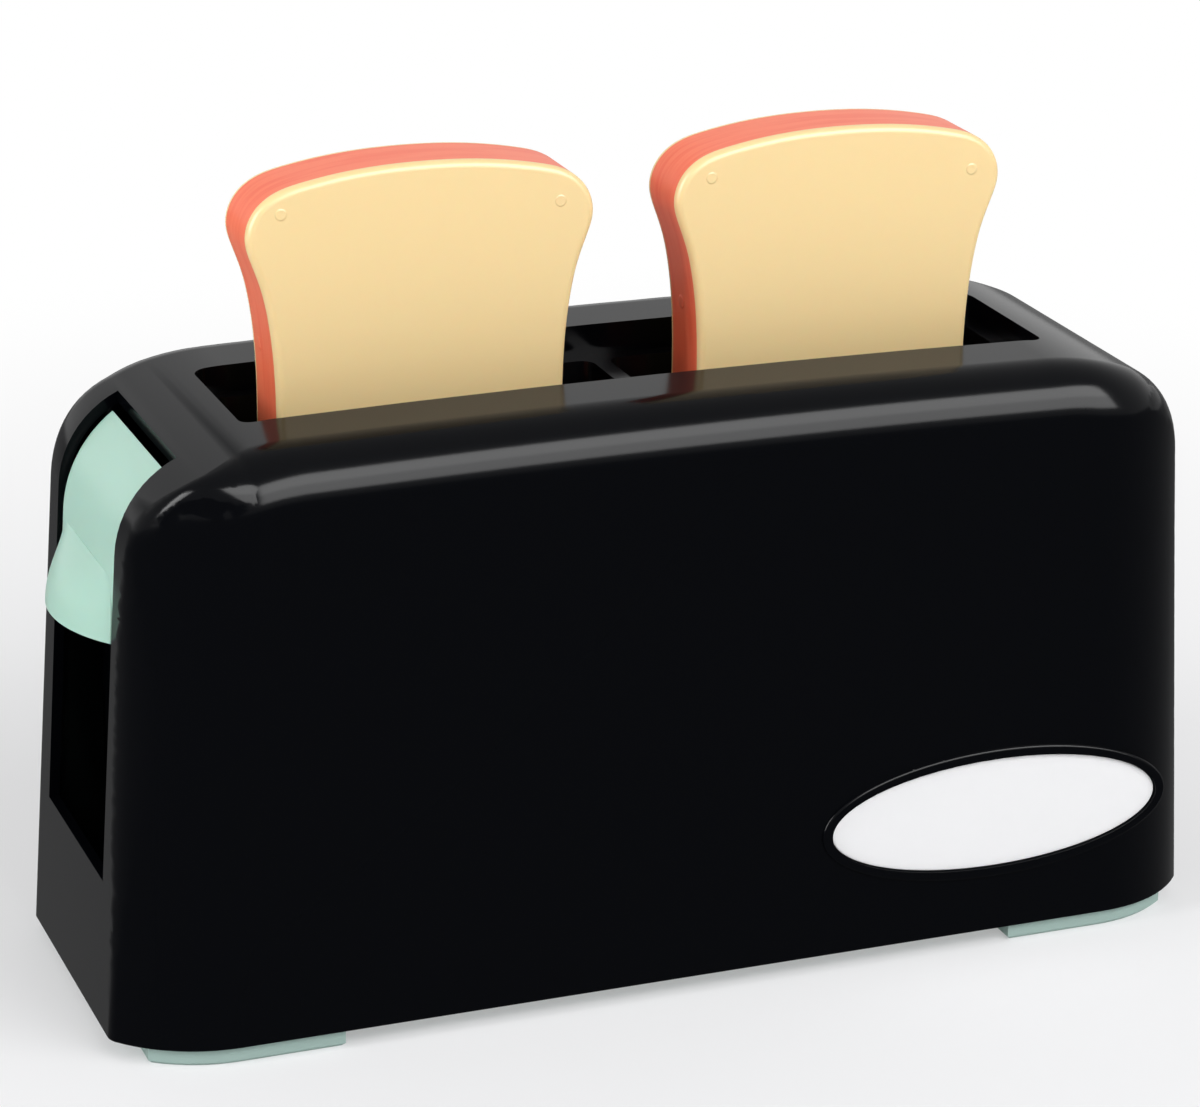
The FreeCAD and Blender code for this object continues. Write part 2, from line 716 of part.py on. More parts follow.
def screw_group(name, length, places, axis=V(0, 0, 1)):
    """A group of screws, each with its head's bearing face at one place."""
    turn = FreeCAD.Rotation(V(0, 0, 1), axis)
    solids = []
    for point in places:
        item = screw(length)
        item.Placement = FreeCAD.Placement(point, turn)
        solids.append(item)
    return feature(name, Part.makeCompound(solids))


def make_screws():
    """Screws of the base plate, the posts, the liner and the lever."""
    foot, head = size("foot_height"), size("head_height")
    along, across = size("column_along"), size("column_across")
    base_level = foot + head + 0.2
    skirt_end = foot + size("cover_height") - size("collar_depth") - size("liner_skirt")
    face, height = lever_joint()
    return [
        screw_group("base_screws", size("screw_length"),
                    [V(x * along, y * across, base_level) for x, y in CORNERS]),
        screw_group("post_screws", size("screw_length"),
                    [V(side * size("post_along"), 0, base_level) for side in BOTH]),
        screw_group("liner_screws", size("screw_length"),
                    [V(x * size("liner_screw_along"), y * size("liner_screw_across"), skirt_end)
                     for x, y in CORNERS]),
        screw_group("lever_screws", 5.0,
                    [V(face + size("flange_wall"), side * size("lever_screw_spacing") / 2, height)
                     for side in BOTH], V(-1, 0, 0)),
    ]


def make_post(name, side):
    """Guide post from its socket in the base plate up into the liner's ear."""
    along = "%d * post_along" % side
    length = "%s - (foot_height + post_seat)" % EAR_TOP
    post = rod(name + "_rod", "post_radius", length, along, 0, "foot_height + post_seat")
    bore = rod(name + "_bore", "screw_radius + thread_gap", "screw_length + 2.5", along, 0, "foot_height")
    return cut(name, post, bore)


def make_spring(name, side):
    """Return spring round a guide post, between the socket and the carriage's hub."""
    wire, radius = size("wire_radius"), size("spring_radius")
    turns = int(size("spring_turns"))
    foot = size("foot_height")
    low = foot + size("socket_height") + wire + 0.05
    hub = (foot + size("cover_height") - size("collar_depth") - size("liner_skirt")
           - size("hub_top_gap") - size("hub_length"))
    pitch = (hub - wire - 0.05 - low) / turns
    print("%s: pitch %.2f mm, least gap between turns %.2f mm" % (name, pitch, pitch - 2 * wire))
    steps = 12
    points = []
    for index in range(turns * steps + 1):
        angle = 2 * math.pi * index / steps
        points.append(V(radius * math.cos(angle), radius * math.sin(angle), pitch * index / steps))
    path = Part.BSplineCurve()
    path.interpolate(points)
    tangent = path.tangent(path.FirstParameter)[0]
    section = Part.Wire([Part.Circle(points[0], tangent, wire).toShape()])
    coil = Part.Wire([path.toShape()]).makePipeShell([section], True, True)
    coil.translate(V(side * size("post_along"), 0, low))
    return feature(name, coil)


def slice_wire(inset, y):
    """Outline of a bread slice, from stations of its side: half width, height and facing."""
    wide = size("toast_width") / 2
    base = size("toast_base_width") / 2
    tall = size("toast_height")
    grow = wide - base
    stations = [
        (base + 0.02 * grow, 0.33 * tall, 0), (base + 0.28 * grow, 0.61 * tall, -8),
        (base + 0.50 * grow, 0.69 * tall, -18), (base + 0.80 * grow, 0.76 * tall, -20),
        (wide, 0.825 * tall, 0), (0.95 * wide, 0.90 * tall, 40), (0.84 * wide, 0.944 * tall, 64),
        (0.68 * wide, 0.968 * tall, 78), (0.45 * wide, 0.987 * tall, 84),
    ]
    right = [V(base - inset, y, inset)]
    for along, up, facing in stations:
        turn = math.radians(facing)
        right.append(V(along - inset * math.cos(turn), y, up - inset * math.sin(turn)))
    left = [mirrored(point, x=-1) for point in reversed(right)]
    curve = Part.BSplineCurve()
    curve.interpolate(right + [V(0, y, tall - inset)] + left)
    return Part.Wire([curve.toShape(), Part.makeLine(left[-1], right[0])])


def make_toast(name, side):
    """A hollow toast: a crust ring closed by two slices with softly rounded edges."""
    thick, skin = size("toast_thickness"), size("slice_skin")
    crust_half = thick / 2 - skin
    outer = Part.Face(slice_wire(0.0, -crust_half)).extrude(V(0, 2 * crust_half, 0))
    inner = Part.Face(slice_wire(size("crust_wall"), -crust_half)).extrude(V(0, 2 * crust_half, 0))
    crust = feature(name + "_crust", outer.cut(inner))
    pieces = [crust]
    for label, front in (("_front_slice", -1), ("_back_slice", 1)):
        plate = Part.Face(slice_wire(0.0, front * crust_half)).extrude(V(0, front * skin, 0))
        outside = front * (crust_half + skin)
        rim = [edge for edge in plate.Edges
               if abs(edge.BoundBox.YMin - outside) < 0.01 and abs(edge.BoundBox.YMax - outside) < 0.01]
        plate = plate.makeFillet(size("slice_edge"), rim)
        plug = Part.Face(slice_wire(size("crust_wall") + 0.1, front * crust_half)).extrude(V(0, -front * 1.0, 0))
        pieces.append(feature(name + label, plate.fuse(plug)))
    for piece in pieces:
        place(piece, "%d * toast_spacing / 2 + toast_shift" % side, 0, TOAST_BOTTOM)
    return pieces


def check(objects):
    """Stop if any object failed or any sub-part's shape is empty or broken."""
    for item in doc.Objects:
        bad = [word for word in item.State if word in ("Invalid", "Error")]
        if bad:
            raise RuntimeError("%s is %s" % (item.Name, bad))
    for item in objects:
        if item.Shape.isNull() or not item.Shape.isValid() or not item.Shape.Solids:
            raise RuntimeError("%s has no valid solid" % item.Label)


subparts = [make_cover(), make_badge(), make_base(), make_liner(), make_carriage(), make_lever()]
subparts += make_screws()
for word, side in (("left", -1), ("right", 1)):
    subparts.append(make_post("guide_post_" + word, side))
    subparts.append(make_spring("return_spring_" + word, side))
    subparts += make_toast("toast_" + word, side)
doc.recompute()
check(subparts)
os.makedirs("parts", exist_ok=True)
for item in subparts:
    item.Label = item.Name
    item.Shape.exportStep("parts/%s.step" % item.Label)
    box = item.Shape.optimalBoundingBox()
    print("%-24s %d solids %9.1f mm3  x %.1f..%.1f  y %.1f..%.1f  z %.1f..%.1f" % (
        item.Label, len(item.Shape.Solids), item.Shape.Volume,
        box.XMin, box.XMax, box.YMin, box.YMax, box.ZMin, box.ZMax))
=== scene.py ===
import logging
import math
from dataclasses import dataclass, field
from enum import Enum
from typing import Callable

import bpy
import numpy as np
from mathutils import Matrix, Vector


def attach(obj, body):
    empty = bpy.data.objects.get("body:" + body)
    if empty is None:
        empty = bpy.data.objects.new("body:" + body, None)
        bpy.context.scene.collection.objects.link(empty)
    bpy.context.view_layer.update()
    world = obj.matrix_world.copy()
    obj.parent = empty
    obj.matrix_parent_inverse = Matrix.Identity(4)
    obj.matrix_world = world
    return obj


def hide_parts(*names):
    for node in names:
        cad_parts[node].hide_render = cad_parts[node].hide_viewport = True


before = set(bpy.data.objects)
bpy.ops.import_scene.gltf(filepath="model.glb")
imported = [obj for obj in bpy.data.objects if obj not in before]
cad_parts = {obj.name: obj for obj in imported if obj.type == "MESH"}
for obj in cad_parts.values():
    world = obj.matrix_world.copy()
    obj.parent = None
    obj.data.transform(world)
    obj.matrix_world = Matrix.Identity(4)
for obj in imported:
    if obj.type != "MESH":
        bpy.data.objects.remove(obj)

log = logging.getLogger("toy_toaster")

MM = 0.001
FOOT_HEIGHT = 3.3
# How far light travels inside the plastic, in metres.
SUBSURFACE_DEPTH = 0.0015
# Height of a moulding mark, in metres, and the share of its radius that is flat.
MARK_HEIGHT = 0.00012
MARK_FLAT_SHARE = 0.7
# Flow streaks per metre along X, Y and Z, and the part of the noise over which they fade in.
STREAK_SCALE = (60.0, 700.0, 60.0)
STREAK_RANGE = (0.45, 0.65)
# Least agreement between the exact normal and a triangle's own for the exact one to be used.
FACING_LIMIT = 0.6


class Side(Enum):
    """Sides along the toaster's length; the lever is at the left end."""

    LEFT = "left"
    RIGHT = "right"


def linear(code: str) -> tuple[float, float, float, float]:
    """Turn an sRGB hex code into a linear colour with full alpha.

    Args:
        code: Six hex digits, such as "bcded0".

    Returns:
        Linear red, green, blue and alpha.
    """
    parts = []
    for start in (0, 2, 4):
        value = int(code[start:start + 2], 16) / 255
        parts.append(value / 12.92 if value <= 0.04045 else ((value + 0.055) / 1.055) ** 2.4)
    return parts[0], parts[1], parts[2], 1.0


def add_node(tree: bpy.types.NodeTree, kind: str, **values: object) -> bpy.types.Node:
    """Add one shader node, set its settings and its input sockets.

    Args:
        tree: Node tree that takes the node.
        kind: Type name of the node.
        **values: Settings by attribute name, or sockets by name with spaces as underscores. A socket
            of another node is linked, and any other value is written into the socket.

    Returns:
        The new node.
    """
    node = tree.nodes.new(kind)
    for key, value in values.items():
        if hasattr(node, key):
            setattr(node, key, value)
    for key, value in values.items():
        if hasattr(node, key):
            continue
        socket = node.inputs[int(key[1:])] if key[1:].isdigit() else node.inputs[key.replace("_", " ")]
        if isinstance(value, bpy.types.NodeSocket):
            tree.links.new(value, socket)
        else:
            socket.default_value = value
    return node


@dataclass(frozen=True)
class Finish:
    """Look of one real material.

    Attributes:
        name: Name of the Blender material.
        color: sRGB hex code of the base colour.
        roughness: Roughness of the surface.
        metallic: One for metal, zero for anything else.
        wave_mm: Size of the slow waviness of a moulded wall, or zero.
        wave_depth: Height of that waviness, in metres.
        subsurface: Weight of light that travels inside the plastic.
        specular: Strength of the reflection at right angles, 0.5 for plain plastic.
        streak_color: sRGB hex code of faint flow streaks, or an empty text.
        marks: Moulding marks as x, y, z and radius, in millimetres.
    """

    name: str
    color: str
    roughness: float
    metallic: float = 0.0
    wave_mm: float = 0.0
    wave_depth: float = 0.0
    subsurface: float = 0.0
    specular: float = 0.5
    streak_color: str = ""
    marks: tuple[tuple[float, float, float, float], ...] = ()

    def build(self) -> bpy.types.Material:
        """Make the Blender material.

        Returns:
            The new material.
        """
        material = bpy.data.materials.new(self.name)
        material.use_nodes = True
        tree = material.node_tree
        tree.nodes.clear()
        shader = add_node(
            tree, "ShaderNodeBsdfPrincipled", Base_Color=linear(self.color), Roughness=self.roughness,
            Metallic=self.metallic, Subsurface_Weight=self.subsurface, Subsurface_Scale=SUBSURFACE_DEPTH,
            Specular_IOR_Level=self.specular)
        normal = None
        coords = add_node(tree, "ShaderNodeTexCoord")
        if self.streak_color:
            tree.links.new(self.streaks(tree, coords.outputs["Object"]), shader.inputs["Base Color"])
        for x, y, z, radius in self.marks:
            away = add_node(
                tree, "ShaderNodeVectorMath", operation="DISTANCE", i0=coords.outputs["Object"],
                i1=(x * MM, y * MM, z * MM))
            rim = add_node(
                tree, "ShaderNodeMapRange", interpolation_type="SMOOTHSTEP", Value=away.outputs["Value"],
                From_Min=MARK_FLAT_SHARE * radius * MM, From_Max=radius * MM, To_Min=1.0, To_Max=0.0)
            bump = add_node(
                tree, "ShaderNodeBump", Height=rim.outputs["Result"], Distance=MARK_HEIGHT, Strength=1.0)
            if normal:
                tree.links.new(normal, bump.inputs["Normal"])
            normal = bump.outputs["Normal"]
        if self.wave_mm:
            noise = add_node(
                tree, "ShaderNodeTexNoise", Vector=coords.outputs["Object"], Scale=1.0 / (self.wave_mm * MM),
                Detail=2.0)
            normal = add_node(
                tree, "ShaderNodeBump", Height=noise.outputs["Fac"], Distance=self.wave_depth,
                Strength=1.0).outputs["Normal"]
        if normal:
            tree.links.new(normal, shader.inputs["Normal"])
        output = add_node(tree, "ShaderNodeOutputMaterial")
        tree.links.new(shader.outputs["BSDF"], output.inputs["Surface"])
        return material

    def streaks(self, tree: bpy.types.NodeTree, coords: bpy.types.NodeSocket) -> bpy.types.NodeSocket:
        """Add faint flow streaks that run along a crust.

        Args:
            tree: Node tree that takes the nodes.
            coords: Socket with the coordinates of the pattern.

        Returns:
            The socket with the streaked colour.
        """
        stretched = add_node(tree, "ShaderNodeMapping", Vector=coords, Scale=STREAK_SCALE)
        noise = add_node(tree, "ShaderNodeTexNoise", Vector=stretched.outputs[0], Scale=1.0, Detail=3.0)
        share = add_node(
            tree, "ShaderNodeMapRange", Value=noise.outputs["Fac"], From_Min=STREAK_RANGE[0],
            From_Max=STREAK_RANGE[1])
        mix = add_node(
            tree, "ShaderNodeMix", data_type="RGBA", i0=share.outputs["Result"], i6=linear(self.color),
            i7=linear(self.streak_color))
        return mix.outputs[2]


BLACK_GLOSS = Finish("glossy black ABS plastic", "050609", 0.15, specular=0.07)
BLACK_SATIN = Finish("satin black ABS plastic", "050507", 0.22, specular=0.2, wave_mm=9.0, wave_depth=0.0002)
MINT_LEVER = Finish("semi-gloss mint plastic", "afd6c6", 0.28, subsurface=0.1, specular=0.35)
# Mint of the base plate and feet: their own mint, made darker and greyer than the lever's mint as painted
# shade for the shadow on the feet below the cover.
MINT_BASE_WITH_PAINTED_SHADE = Finish("satin mint plastic with painted shade", "9db5ae", 0.45, specular=0.3)
BADGE_WHITE = Finish("smooth white plastic", "f0f0f1", 0.22, specular=0.4)
CRUST_ORANGE = Finish(
    "orange crust plastic", "ff7d58", 0.38, subsurface=0.1, specular=0.3, streak_color="fb6f4c",
    marks=((-64.2, 2.5, 112.3, 1.3), (10.8, 1.0, 112.9, 1.3)))
SLICE_CREAM = Finish(
    "cream slice plastic", "fbdca0", 0.38, subsurface=0.1, specular=0.3,
    marks=((-63.1, -6.8, 136.6, 1.1), (-14.7, -6.8, 134.9, 1.1), (12.4, -6.8, 136.5, 1.1),
           (60.9, -6.8, 134.1, 1.1)))
SCREW_STEEL = Finish("zinc plated steel", "b9bcc0", 0.3, metallic=1.0)
POST_STEEL = Finish("drawn steel rod", "c2c4c8", 0.25, metallic=1.0)
SPRING_STEEL = Finish("spring steel wire", "a5a8ac", 0.3, metallic=1.0)


def dress(node: str, finish: Finish, cache: dict[str, bpy.types.Material]) -> None:
    """Give a CAD node one finish in all its material slots.

    Args:
        node: Name of the node.
        finish: Look to give.
        cache: Materials made so far, by name.
    """
    if finish.name not in cache:
        cache[finish.name] = finish.build()
    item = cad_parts[node]
    if not item.material_slots:
        item.data.materials.append(cache[finish.name])
    for slot in item.material_slots:
        slot.material = cache[finish.name]
    log.info("%s: %s", node, finish.name)


@dataclass(frozen=True)
class CoverShape:
    """The cover's outer surface, in millimetres, for exact normals on its polished skin.

    Attributes:
        length: Length along X at the bottom.
        depth: Depth along Y at the bottom.
        height: Height above the feet.
        crown_rise: Rise of the nearly flat top over its half span.
        crown_half: Half span of that rise.
        shoulder_radius: Radius of the shoulder between top and corner.
        shoulder_angle: Angle from +Z at which the corner takes over, in degrees.
        corner_radius: Radius of the upper end corners.
        plan_radius: Radius with which the broad faces curve back to the ends.
        end_setback: How far they have curved back at the ends.
        end_draft: Lean of the ends, in degrees.
        face_draft: Lean of the broad faces, in degrees.
        top_fillet: Fillet along the top of the broad faces.
        edge_fillet: Fillet along their upright edges.
        base: Height of the cover's bottom above the table.
    """

    length: float = 200.0
    depth: float = 71.0
    height: float = 102.5
    crown_rise: float = 0.9
    crown_half: float = 72.5
    shoulder_radius: float = 48.0
    shoulder_angle: float = 22.0
    corner_radius: float = 18.0
    plan_radius: float = 25.5
    end_setback: float = 9.85
    end_draft: float = 3.4
    face_draft: float = 0.9
    top_fillet: float = 9.0
    edge_fillet: float = 3.5
    base: float = FOOT_HEIGHT

    def chain(self) -> list[tuple[np.ndarray, float, float]]:
        """Find the tangent arcs of the front view's left half.

        Returns:
            Centre, radius and last angle from +Z of crown, shoulder and corner.
        """
        crown = self.crown_half ** 2 / (2 * self.crown_rise)
        split = math.radians(self.shoulder_angle)
        draft = math.radians(self.end_draft)
        top = np.array([0.0, self.height - crown])

        def centres(angle: float) -> tuple[np.ndarray, np.ndarray]:
            """Return the centres of shoulder and corner for one crown angle."""
            reach = crown - self.shoulder_radius
            shoulder = top + reach * np.array([-math.sin(angle), math.cos(angle)])
            reach = self.shoulder_radius - self.corner_radius
            return shoulder, shoulder + reach * np.array([-math.sin(split), math.cos(split)])

        low, high = 0.0, split
        for _ in range(60):
            middle = (low + high) / 2
            x, z = centres(middle)[1]
            gap = (x + self.length / 2 - math.tan(draft) * z) * math.cos(draft) - self.corner_radius
            low, high = (middle, high) if gap > 0 else (low, middle)
        shoulder, corner = centres(low)
        return [(top, crown, low), (shoulder, self.shoulder_radius, split),
                (corner, self.corner_radius, math.pi / 2 - draft)]

    def band_depth(self, points: np.ndarray) -> np.ndarray:
        """Return how deep points lie below the band over ends and top.

        Args:
            points: Rows of x, y and z above the cover's bottom.
        """
        flat = np.stack([-np.abs(points[:, 0]), points[:, 2]], axis=1)
        draft = math.radians(self.end_draft)
        depth = (flat[:, 0] + self.length / 2 - math.tan(draft) * flat[:, 1]) * math.cos(draft)
        for centre, radius, last in reversed(self.chain()):
            away = flat - centre
            turn = np.arctan2(-away[:, 0], away[:, 1])
            depth = np.where(turn <= last, radius - np.hypot(away[:, 0], away[:, 1]), depth)
        return depth

    def face_depth(self, points: np.ndarray) -> np.ndarray:
        """Return how deep points lie below the broad faces.

        Args:
            points: Rows of x, y and z above the cover's bottom.
        """
        run = math.sqrt(self.plan_radius ** 2 - (self.plan_radius - self.end_setback) ** 2)
        start = self.length / 2 - run - math.tan(math.radians(self.end_draft)) * points[:, 2]
        lean = math.radians(self.face_draft)
        half = self.depth / 2 - math.tan(lean) * points[:, 2]
        x, y = np.abs(points[:, 0]), np.abs(points[:, 1])
        curved = self.plan_radius - np.hypot(x - start, y - half + self.plan_radius)
        return np.where(x > start, curved, half - y) * math.cos(lean)

    def slope(self, depth: Callable[[np.ndarray], np.ndarray], points: np.ndarray) -> np.ndarray:
        """Return the inward unit gradients of a depth function.

        Args:
            depth: One of the two depth functions.
            points: Rows of x, y and z above the cover's bottom.
        """
        step = 0.01
        rows = []
        for axis in range(3):
            shift = np.zeros(3)
            shift[axis] = step
            rows.append(depth(points + shift) - depth(points - shift))
        gradient = np.stack(rows, axis=1)
        return gradient / np.maximum(np.linalg.norm(gradient, axis=1, keepdims=True), 1e-9)

    def normals(self, points: np.ndarray) -> tuple[np.ndarray, np.ndarray]:
        """Find the surface normal nearest to each point.

        Args:
            points: Rows of x, y and z above the table.

        Returns:
            Outward unit normals, and how far each point is from the surface.
        """
        local = points - np.array([0.0, 0.0, self.base])
        corner = self.chain()[2]
        split = math.radians(self.shoulder_angle)
        turn = np.arctan2(np.abs(local[:, 0]) + corner[0][0], local[:, 2] - corner[0][1])
        share = np.clip((corner[2] - turn) / (corner[2] - split), 0.0, 1.0)
        radius = self.edge_fillet + (self.top_fillet - self.edge_fillet) * share
        band, face = self.band_depth(local), self.face_depth(local)
        inward_band, inward_face = self.slope(self.band_depth, local), self.slope(self.face_depth, local)
        centre = local.copy()
        for _ in range(4):
            one, two = self.slope(self.band_depth, centre), self.slope(self.face_depth, centre)
            both = np.sum(one * two, axis=1)
            need_one = radius - self.band_depth(centre)
            need_two = radius - self.face_depth(centre)
            scale = np.maximum(1 - both ** 2, 0.02)
            centre = centre + one * ((need_one - both * need_two) / scale)[:, None]
            centre = centre + two * ((need_two - both * need_one) / scale)[:, None]
        away = local - centre
        one, two = self.slope(self.band_depth, centre), self.slope(self.face_depth, centre)
        both = np.sum(one * two, axis=1)
        along_one, along_two = -np.sum(away * one, axis=1), -np.sum(away * two, axis=1)
        inside = (along_one - both * along_two > 0) & (along_two - both * along_one > 0)
        inside &= (band < radius * 1.001) & (face < radius * 1.001)
        rounded = away / np.maximum(np.linalg.norm(away, axis=1, keepdims=True), 1e-9)
        plain = np.where((band < face)[:, None], -inward_band, -inward_face)
        normal = np.where(inside[:, None], rounded, plain)
        off_fillet = np.abs(np.linalg.norm(away, axis=1) - radius)
        miss = np.where(inside, off_fillet, np.minimum(np.abs(band), np.abs(face)))
        return normal, miss


def polished_copy(node: str, shape: CoverShape, limit_mm: float = 0.25) -> bpy.types.Object:
    """Copy a CAD node and give its outer skin the exact normals of the designed surface.

    Args:
        node: Name of the node.
        shape: The designed surface.
        limit_mm: How far a corner may be from that surface to count as on it.

    Returns:
        The new object.
    """
    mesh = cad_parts[node].data.copy()
    mesh.name = node + "_skin"
    places = np.empty(len(mesh.vertices) * 3)
    mesh.vertices.foreach_get("co", places)
    places = places.reshape(-1, 3)
    corner_vertex = np.empty(len(mesh.loops), dtype=np.int64)
    mesh.loops.foreach_get("vertex_index", corner_vertex)
    kept = np.empty(len(mesh.loops) * 3)
    mesh.corner_normals.foreach_get("vector", kept)
    kept = kept.reshape(-1, 3)
    flat = np.empty(len(mesh.polygons) * 3)
    mesh.polygons.foreach_get("normal", flat)
    totals = np.empty(len(mesh.polygons), dtype=np.int64)
    mesh.polygons.foreach_get("loop_total", totals)
    flat = np.repeat(flat.reshape(-1, 3), totals, axis=0)
    normal, miss = shape.normals(places / MM)
    exact = normal[corner_vertex]
    outer = (miss[corner_vertex] < limit_mm) & (np.sum(exact * flat, axis=1) > FACING_LIMIT)
    mesh.normals_split_custom_set(np.where(outer[:, None], exact, kept).tolist())
    copy = bpy.data.objects.new(node + "_skin", mesh)
    bpy.context.scene.collection.objects.link(copy)
    log.info("%s_skin: %d of %d corners follow the designed surface", node, int(outer.sum()), len(outer))
    return copy


@dataclass
class PhotoCamera:
    """Camera at the photograph's viewpoint, solved from the object's measured corners.

    Attributes:
        focal_px: Focal length in pixels of the photograph.
        azimuth: Turn about Z, in degrees.
        elevation: Height angle, in degrees.
        roll: Turn about the line of sight, in degrees.
        offset: Place of the camera right of, above and behind the object's middle, in millimetres.
        centre_px: Where the line of sight meets the picture.
        picture: Width and height of the picture in pixels.
    """

    focal_px: float = 3998.447
    azimuth: float = -20.845
    elevation: float = 20.395
    roll: float = 0.758
    offset: tuple[float, float, float] = (-13.201, 61.046, 718.656)
    centre_px: tuple[float, float] = (540.029, 553.597)
    picture: tuple[float, float] = (1200.0, 1107.0)

    def build(self) -> None:
        """Add the camera and make it the scene's camera."""
        az, el, roll = (math.radians(v) for v in (self.azimuth, self.elevation, self.roll))
        back = Vector((math.sin(az) * math.cos(el), -math.cos(az) * math.cos(el), math.sin(el)))
        right = Vector((0, 0, 1)).cross(back).normalized()
        up = back.cross(right)
        level_right = right * math.cos(roll) + up * math.sin(roll)
        level_up = up * math.cos(roll) - right * math.sin(roll)
        place = back * self.offset[2] + level_right * self.offset[0] + level_up * self.offset[1]
        place.z += FOOT_HEIGHT
        data = bpy.data.cameras.new("photo_camera")
        data.sensor_width = 36.0
        data.lens = self.focal_px / self.picture[0] * data.sensor_width
        data.shift_x = (self.picture[0] / 2 - self.centre_px[0]) / self.picture[0]
        data.shift_y = (self.centre_px[1] - self.picture[1] / 2) / self.picture[0]
        data.clip_start = 0.01
        camera = bpy.data.objects.new("photo_camera", data)
        turn = Matrix((level_right, level_up, back)).transposed().to_4x4()
        camera.matrix_world = Matrix.Translation(place * MM) @ turn
        bpy.context.scene.collection.objects.link(camera)
        bpy.context.scene.camera = camera


@dataclass(frozen=True)
class SoftBox:
    """One rectangular studio lamp.

    Attributes:
        name: Name of the lamp.
        place: Position in metres.
        target: Point that it faces, in metres.
        size: Width and height in metres.
        power: Power in watts.
        gloss_only: Whether the lamp shows in glossy surfaces only.
    """

    name: str
    place: tuple[float, float, float]
    target: tuple[float, float, float]
    size: tuple[float, float]
    power: float
    gloss_only: bool = False

    def build(self) -> None:
        """Add the lamp to the scene."""
        data = bpy.data.lights.new(self.name, "AREA")
        data.shape = "RECTANGLE"
        data.size, data.size_y = self.size
        data.energy = self.power
        lamp = bpy.data.objects.new(self.name, data)
        aim = Vector(self.place) - Vector(self.target)
        turn = aim.to_track_quat("Z", "Y").to_matrix().to_4x4()
        lamp.matrix_world = Matrix.Translation(Vector(self.place)) @ turn
        lamp.visible_diffuse = not self.gloss_only
        lamp.visible_camera = False
        bpy.context.scene.collection.objects.link(lamp)


